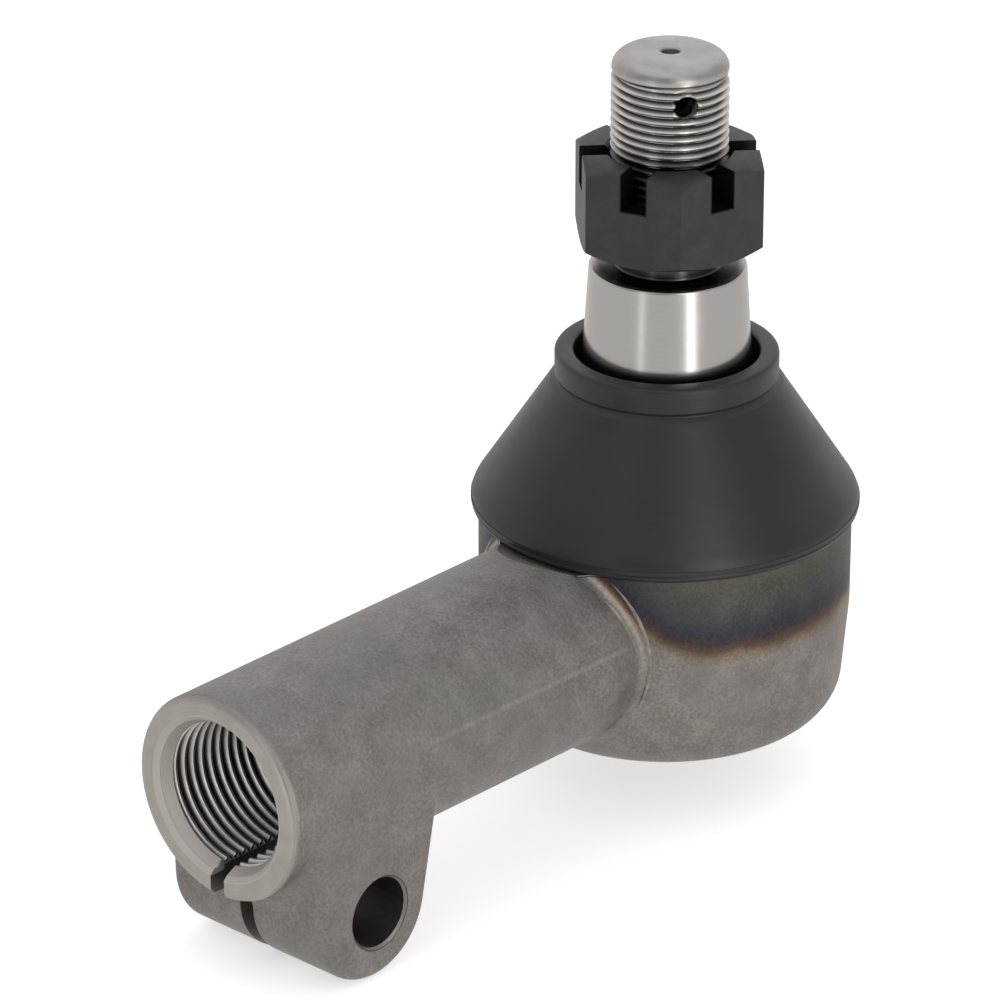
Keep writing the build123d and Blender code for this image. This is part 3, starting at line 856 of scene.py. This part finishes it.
stood = add_node(
    thread_tree,
    "GeometryNodeTransform",
    {"Geometry": ridge.outputs[0], "Translation": lift.outputs[0], "Rotation": upright.outputs[0]},
)
swept = sweep_end(thread_tree, sized.outputs[0], stood.outputs[0])
placed = add_node(
    thread_tree,
    "GeometryNodeTransform",
    {"Geometry": swept, "Translation": given["Start"], "Rotation": given["Turn"]},
)
close_tree(thread_tree, placed.outputs[0], given, result)
print("thread tree:", len(thread_tree.nodes), "nodes")

# %% [markdown]
# A tree does nothing until a modifier runs it. The helper below gives a modifier its numbers through
# the sockets' identifiers, takes the evaluated result as a plain mesh, and then drops the modifier.
# What is left is an ordinary mesh, which every other program can read.


# %% Run a tree and keep the mesh
def run_tree(name, tree, values, source=None):
    """Runs a geometry tree on source's mesh, and returns an object that holds the plain result."""
    carrier = source or bpy.data.objects.new(name + "_carrier", bpy.data.meshes.new(name + "_carrier"))
    if not source:
        bpy.context.scene.collection.objects.link(carrier)
    modifier = carrier.modifiers.new("tree", "NODES")
    modifier.node_group = tree
    for item in tree.interface.items_tree:
        if item.in_out == "INPUT" and item.name in values:
            modifier[item.identifier] = values[item.name]
    bpy.context.view_layer.update()
    mesh_builder = bmesh.new()
    evaluated = carrier.evaluated_get(bpy.context.evaluated_depsgraph_get())
    made = bpy.data.meshes.new_from_object(evaluated)
    mesh_builder.from_mesh(made)
    carrier.modifiers.remove(modifier)
    bpy.data.objects.remove(carrier)
    bmesh.ops.recalc_face_normals(mesh_builder, faces=mesh_builder.faces)
    if mesh_builder.calc_volume(signed=True) < 0:
        bmesh.ops.reverse_faces(mesh_builder, faces=mesh_builder.faces)
    thing = finish_mesh(name, mesh_builder)
    paint(thing, values["Material"])
    bpy.data.meshes.remove(made)
    print(name, len(thing.data.polygons), "faces")
    return thing


ridge_height = STUD_THREAD_R - STUD_ROOT_R + 0.03
stud_thread = run_tree(
    "stud_thread",
    thread_tree,
    {
        "Pitch": STUD_THREAD_PITCH * MM,
        "Turns": (95.6 - STUD_THREAD_BOTTOM_Z) / STUD_THREAD_PITCH,
        "Core Radius": (STUD_ROOT_R - 0.03) * MM,
        "Ridge Height": ridge_height * MM,
        "Side": 1.0,
        "Root Width": STUD_THREAD_PITCH * 0.96 * MM,
        "Crest Width": STUD_THREAD_PITCH * 0.16 * MM,
        "Run Out Turns": 0.8,
        "Steps Per Turn": 96,
        "Turn": (0.0, 0.0, 0.6),
        "Start": (0.0, 0.0, STUD_THREAD_BOTTOM_Z * MM),
        "Material": thread_steel,
    },
)

# %% [markdown]
# ## The cotter hole
# A pin goes through the stud and the nut's slots to lock the nut. The drill leaves a round hole with
# a small countersink at each mouth. One cutter, subtracted from the stud and from its thread, makes
# both, so the thread breaks off at the countersink as it does on the real stud.


# %% Drill the cotter hole
def cut_away(thing, cutter):
    """Subtracts cutter from thing for good."""
    modifier = thing.modifiers.new("cut", "BOOLEAN")
    modifier.operation = "DIFFERENCE"
    modifier.solver = "EXACT"
    modifier.object = cutter
    bpy.context.view_layer.update()
    evaluated = thing.evaluated_get(bpy.context.evaluated_depsgraph_get())
    cut_mesh = bpy.data.meshes.new_from_object(evaluated)
    old = thing.data
    thing.modifiers.remove(modifier)
    thing.data = cut_mesh
    cut_mesh.name = old.name
    bpy.data.meshes.remove(old)


COTTER_R = 2.0
sink_outline = [
    (0.0, -14.0),
    (COTTER_R + 3.6, -14.0),
    (COTTER_R, -9.6),
    (COTTER_R, 9.6),
    (COTTER_R + 3.6, 14.0),
    (0.0, 14.0),
]
cotter_cutter = spin("cotter_cutter", sink_outline, 48)
lay_down = Matrix.Rotation(radians(COTTER_TURN), 4, "Z") @ Matrix.Rotation(pi / 2, 4, "Y")
cotter_cutter.data.transform(Matrix.Translation((0, 0, COTTER_Z * MM)) @ lay_down)
for thing in (stud, stud_thread):
    cut_away(thing, cotter_cutter)
bpy.data.objects.remove(cotter_cutter)
paint(stud, turned_steel)
paint(stud_thread, thread_steel)
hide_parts("ball_stud")
for thing in (stud, stud_thread):
    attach(thing, "stud")
print("stud:", len(stud.data.polygons), "faces; thread:", len(stud_thread.data.polygons), "faces")

# %% [markdown]
# ## The castle nut
# The CAD nut is right but its edges are perfectly sharp, and a sharp edge catches no light. A copy of
# its mesh is merged into one skin, then a narrow bevel rounds every real corner.

# %% Bevel the nut
nut_builder = bmesh.new()
nut_builder.from_mesh(nodes["castle_nut"].data)
bmesh.ops.remove_doubles(nut_builder, verts=nut_builder.verts, dist=0.002 * MM)
bmesh.ops.dissolve_limit(
    nut_builder, angle_limit=radians(1.0), verts=nut_builder.verts, edges=nut_builder.edges
)
sharp_edges = [edge for edge in nut_builder.edges if edge.calc_face_angle(0) > radians(20)]
bmesh.ops.bevel(
    nut_builder, geom=sharp_edges, offset=0.28 * MM, segments=2, affect="EDGES", clamp_overlap=True
)
bmesh.ops.recalc_face_normals(nut_builder, faces=nut_builder.faces)
if nut_builder.calc_volume(signed=True) < 0:
    bmesh.ops.reverse_faces(nut_builder, faces=nut_builder.faces)
nut = finish_mesh("slotted_nut", nut_builder, 40.0)
paint(nut, black_oxide)
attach(nut, "nut")
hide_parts("castle_nut")
print("nut:", len(nut.data.polygons), "faces")

# %% [markdown]
# ## The dust boot
# The boot is a thin rubber cone that keeps grease in and water out. It is spun like the stud, with
# every edge rounded as a mould would. On the real joint its foot stays on the cup while its collar leans
# with the stud; here its outline is cut into short steps, so the mesh has many rings.

# %% Spin the boot
boot_bottom, boot_top = boot_low.z, boot_high.z
boot_outside = rounded(
    [
        (30.6, boot_bottom + 0.02),
        (32.9, boot_bottom + 0.02),
        (33.45, boot_bottom + 0.75),
        (33.05, boot_bottom + 1.35),
        (33.5, boot_bottom + 1.9),
        (33.5, 18.6),
        (19.95, 39.3),
        (18.85, 40.0),
        (19.2, 40.7),
        (19.2, boot_top),
        (15.9, boot_top),
        (15.9, 39.6),
        (17.7, 39.5),
        (17.7, 37.5),
        (17.1, 37.45),
        (29.0, 24.35),
        (29.9, 22.35),
        (30.6, 22.3),
        (30.6, boot_bottom + 0.02),
    ],
    [0, 0.45, 0.3, 0.25, 0.35, 4.6, 0.45, 0.3, 0.25, 0.75, 0.6, 0.1, 0.05, 0.05, 0.2, 1.0, 0.1, 0.1, 0],
    4,
)
boot_outline = boot_outside[:-1]


def divided(outline, longest):
    """Adds points to a closed outline so that no stretch is longer than this."""
    result = []
    for here, there in zip(outline, outline[1:] + outline[:1]):
        length = (Vector(there) - Vector(here)).length
        parts = max(1, int(length / longest) + 1)
        for i in range(parts):
            share = i / parts
            result.append(tuple(Vector(here).lerp(Vector(there), share)))
    return result


boot = spin("rubber_boot", divided(boot_outline, 1.3), 144, closed=True)
paint(boot, boot_rubber)
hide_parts("dust_boot")
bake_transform(boot)
print("boot:", len(boot.data.polygons), "faces")

# %% [markdown]
# ## The thread inside the shank
# The tie rod screws into the shank, so the thread stands inwards. The same tree winds it, laid down
# along the shank. A countersink leads the tie rod into the thread: a slim cone ring stands for the
# metal it leaves round the first turns. The saw slit of the clamp goes through both, so a slab is cut
# from them.

# %% Wind and slit the shank's thread
mouth_x = housing_low.x + 2.0
inner_turns = (SHANK_THREAD_END_X + 0.4 - mouth_x) / SHANK_THREAD_PITCH
shank_thread = run_tree(
    "shank_thread",
    thread_tree,
    {
        "Pitch": SHANK_THREAD_PITCH * MM,
        "Turns": inner_turns,
        "Core Radius": (SHANK_THREAD_R + 0.03) * MM,
        "Ridge Height": (SHANK_THREAD_R + 0.03 - SHANK_DRILL_R) * MM,
        "Side": -1.0,
        "Root Width": SHANK_THREAD_PITCH * 0.93 * MM,
        "Crest Width": SHANK_THREAD_PITCH * 0.2 * MM,
        "Run Out Turns": 0.6,
        "Steps Per Turn": 96,
        "Turn": (0.0, pi / 2, 0.0),
        "Start": (mouth_x * MM, 0.0, 0.0),
        "Material": tapped_steel,
    },
)
slab_builder = bmesh.new()
bmesh.ops.create_cube(slab_builder, size=1.0)
slab_length = SLIT_END_X - housing_low.x + 5.0
for corner in slab_builder.verts:
    corner.co.x = (SLIT_END_X - slab_length / 2 + corner.co.x * slab_length) * MM
    corner.co.y *= SLIT_WIDTH * MM
    corner.co.z = (corner.co.z - 0.5) * 20 * MM
slab = finish_mesh("slit_slab", slab_builder)
cut_away(shank_thread, slab)
buried_r = SHANK_THREAD_R + 0.05
mouth_outline = [(buried_r, 0.76), (12.5, 2.7), (12.6, 3.0), (buried_r, 3.1)]
shank_mouth = spin("shank_mouth", mouth_outline, 128, closed=True)
along_shank = Matrix.Translation((housing_low.x * MM, 0, 0)) @ Matrix.Rotation(pi / 2, 4, "Y")
shank_mouth.data.transform(along_shank)
cut_away(shank_mouth, slab)
paint(shank_mouth, forged_steel)
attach(shank_mouth, "socket")
print("shank mouth:", len(shank_mouth.data.polygons), "faces")
bpy.data.objects.remove(slab)
paint(shank_thread, tapped_steel)
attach(shank_thread, "socket")
print("shank thread:", len(shank_thread.data.polygons), "faces")

# %% [markdown]
# ## What the forging dies leave
# Low ribs outline the blend where the shank grows out of the cup, where steel crept between the die
# parts and was trimmed off. Each rib follows a path on the surface, so a second tree sweeps a flat
# oval along it, uneven in size as ground-off flash is.

# %% Build the rib tree
rib_tree, given, result = new_tree(
    "forged_rib",
    {
        "Width": "Float",
        "Height": "Float",
        "Steps": "Int",
        "Unevenness": "Float",
        "Seed": "Float",
        "Fade Share": "Float",
        "Material": "Material",
    },
)
as_curve = add_node(rib_tree, "GeometryNodeMeshToCurve", {0: given["Geometry"]})
even = add_node(
    rib_tree, "GeometryNodeResampleCurve", {"Curve": as_curve.outputs[0], "Count": given["Steps"]}
)
share = add_node(rib_tree, "GeometryNodeSplineParameter").outputs["Factor"]
ends = calc(rib_tree, "MINIMUM", share, calc(rib_tree, "SUBTRACT", 1.0, share))
ends = calc(rib_tree, "MINIMUM", calc(rib_tree, "DIVIDE", ends, given["Fade Share"]), 1.0)
unevenly = {"Scale": 420.0, "Detail": 3.0, "W": given["Seed"]}
ragged = add_node(rib_tree, "ShaderNodeTexNoise", unevenly, noise_dimensions="4D")
swing = times(rib_tree, calc(rib_tree, "SUBTRACT", ragged.outputs[0], 0.5), given["Unevenness"])
size = calc(rib_tree, "MAXIMUM", times(rib_tree, plus(rib_tree, 1.0, swing), ends), 0.04)
sized = add_node(rib_tree, "GeometryNodeSetCurveRadius", {"Curve": even.outputs[0], "Radius": size})
oval = add_node(rib_tree, "GeometryNodeCurvePrimitiveCircle", {"Resolution": 10, "Radius": 1.0})
half_width = times(rib_tree, given["Width"], 0.5)
proportions = add_node(
    rib_tree, "ShaderNodeCombineXYZ", {"X": given["Height"], "Y": half_width, "Z": 1.0}
)
flat = add_node(
    rib_tree, "GeometryNodeTransform", {"Geometry": oval.outputs[0], "Scale": proportions.outputs[0]}
)
close_tree(rib_tree, sweep_end(rib_tree, sized.outputs[0], flat.outputs[0]), given, result)
print("rib tree:", len(rib_tree.nodes), "nodes")


# %% Lay the ribs along their paths
def path_mesh(name, points):
    """An object whose mesh is one open line through points in mm."""
    mesh = bpy.data.meshes.new(name)
    links = [(i, i + 1) for i in range(len(points) - 1)]
    mesh.from_pydata([Vector(point) * MM for point in points], links, [])
    thing = bpy.data.objects.new(name, mesh)
    bpy.context.scene.collection.objects.link(thing)
    return thing


def blend_line(angle, on_cup):
    """Point where the shank's blend meets the cup or the shank, at an angle above the horizontal."""
    reach = SHANK_R + JUNCTION_R
    ball_y, ball_z = reach * cos(radians(angle)), reach * sin(radians(angle))
    ball_x = -sqrt((CUP_R + JUNCTION_R) ** 2 - ball_y**2)
    if on_cup:
        share = CUP_R / (CUP_R + JUNCTION_R)
        return ball_x * share, ball_y * share, ball_z
    share = SHANK_R / reach
    return ball_x, ball_y * share, ball_z * share


ribs = []
for side, seed in ((-1, 3.0), (1, 8.0)):
    ribs_on_side = {
        "blend_cup": ([blend_line(a, True) for a in range(46, -30, -4)], 0.8, 0.09, 0.8),
        "blend_shank": ([blend_line(a, False) for a in range(44, 8, -3)], 0.7, 0.07, 0.8),
    }
    for label, (points, width, height, unevenness) in ribs_on_side.items():
        points = [(px, side * abs(py), pz) for px, py, pz in points]
        name = f"{label}_rib_{'near' if side < 0 else 'far'}"
        values = {"Width": width * MM, "Height": height * MM, "Steps": 90, "Unevenness": unevenness}
        values.update({"Seed": seed, "Fade Share": 0.25, "Material": trimmed_flash})
        rib = run_tree(name, rib_tree, values, path_mesh(name + "_path", points))
        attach(rib, "socket")
        ribs.append(rib)
print("ribs:", [rib.name for rib in ribs])

# %% [markdown]
# ## Floor and light
# The set is plain: a pale floor and a wide soft sky with brighter and darker stretches, like soft
# boxes and black cards round a table. Bare metal only looks like metal when it has something light
# and something dark to mirror. Two tall strip lights stand beside the set and draw the upright bands
# on the taper. The floor is one even tone everywhere: white to the camera, and a little greyer to
# polished metal, so that upright metal does not turn as white as the floor.

# %% A ring of light and dark stretches
# The steps run once round the set: 0 and 1 are both at -X
studio_ring, start, end = new_group("studio_ring", {}, ["Bearing"])
ray_x, ray_y = split(studio_ring, start["Place"])[:2]
turned = calc(studio_ring, "DIVIDE", calc(studio_ring, "ARCTAN2", ray_y, ray_x), 2 * pi)
put(end["Bearing"], plus(studio_ring, turned, 0.5))

ring_steps = [
    (0.0, (0.52, 0.52, 0.52)),
    (0.018, (0.88, 0.87, 0.86)),
    (0.042, (0.40, 0.40, 0.40)),
    (0.09, (0.24, 0.24, 0.24)),
    (0.14, (0.30, 0.30, 0.30)),
    (0.168, (1.75, 1.72, 1.68)),
    (0.195, (1.75, 1.72, 1.68)),
    (0.225, (0.58, 0.58, 0.58)),
    (0.31, (0.54, 0.54, 0.53)),
    (0.45, (0.62, 0.61, 0.60)),
    (0.52, (0.95, 0.95, 0.95)),
    (0.73, (0.86, 0.86, 0.88)),
    (0.90, (0.62, 0.62, 0.64)),
    (0.955, (0.30, 0.30, 0.31)),
    (1.0, (0.52, 0.52, 0.52)),
]

# %% Lay the floor
floor_builder = bmesh.new()
bmesh.ops.create_grid(floor_builder, x_segments=1, y_segments=1, size=6.0)
floor = finish_mesh("floor", floor_builder)
floor.data.transform(Matrix.Translation((0, 0, housing_low.z * MM)))
floor_paint, tree, floor_shader = new_material("white_floor")[:3]
floor_look = {
    "Base Color": (0.9, 0.9, 0.9, 1.0),
    "Roughness": 0.9,
    "Specular IOR Level": 0.0,
    "Emission Color": (1.0, 1.0, 1.0, 1.0),
    "Emission Strength": 0.5,
}
for name, value in floor_look.items():
    put(floor_shader.inputs[name], value)
toned = add_node(tree, "ShaderNodeEmission", {"Color": (0.80, 0.79, 0.78, 1.0)}).outputs[0]
in_reflection = add_node(tree, "ShaderNodeLightPath").outputs["Is Glossy Ray"]
choices = {0: in_reflection, 1: floor_shader.outputs[0], 2: toned}
either = add_node(tree, "ShaderNodeMixShader", choices).outputs[0]
put(tree.nodes["Material Output"].inputs["Surface"], either)
paint(floor, floor_paint)
print("floor at z", round(housing_low.z, 2), "mm")

# %% Stand two strip lights
def stand_strip(name, turn_from_camera, width, power):
    """A tall soft strip light beside the set, facing the stud, with width in mm and power in watts."""
    lamp = bpy.data.lights.new(name, "AREA")
    lamp.shape = "RECTANGLE"
    lamp.size = width * MM
    lamp.size_y = 180 * MM
    lamp.energy = power
    strip = bpy.data.objects.new(name, lamp)
    bpy.context.scene.collection.objects.link(strip)
    away = direction(CAMERA_AZIMUTH + turn_from_camera, 0)
    strip.location = (away * 200 + Vector((0, 0, 57))) * MM
    strip.rotation_euler = (-away).to_track_quat("-Z", "Y").to_euler()
    strip.visible_camera = False
    return strip


strips = [stand_strip("right_strip", 30, 40, 0.058), stand_strip("left_strip", -36, 20, 0.011)]
print("strip lights:", [strip.name for strip in strips])

# %% Light the set
world = bpy.data.worlds.new("soft_studio")
bpy.context.scene.world = world
world.use_nodes = True
tree = world.node_tree
sky = tree.nodes["Background"]
ray = tree.nodes.new("ShaderNodeTexCoord").outputs["Generated"]
ray_height = split(tree, ray)[2]
sky_ring = use_group(tree, studio_ring, ray)
round_the_set = colour_steps(tree, sky_ring["Bearing"], ring_steps)
overhead = fade(tree, ray_height, 0.55, 0.85)
put(sky.inputs["Color"], blend_colour(tree, overhead, round_the_set, (0.93, 0.93, 0.95, 1.0)))
put(sky.inputs["Strength"], 1.0)
bpy.context.scene.view_settings.view_transform = "Standard"
print("sky:", len(tree.nodes), "nodes")
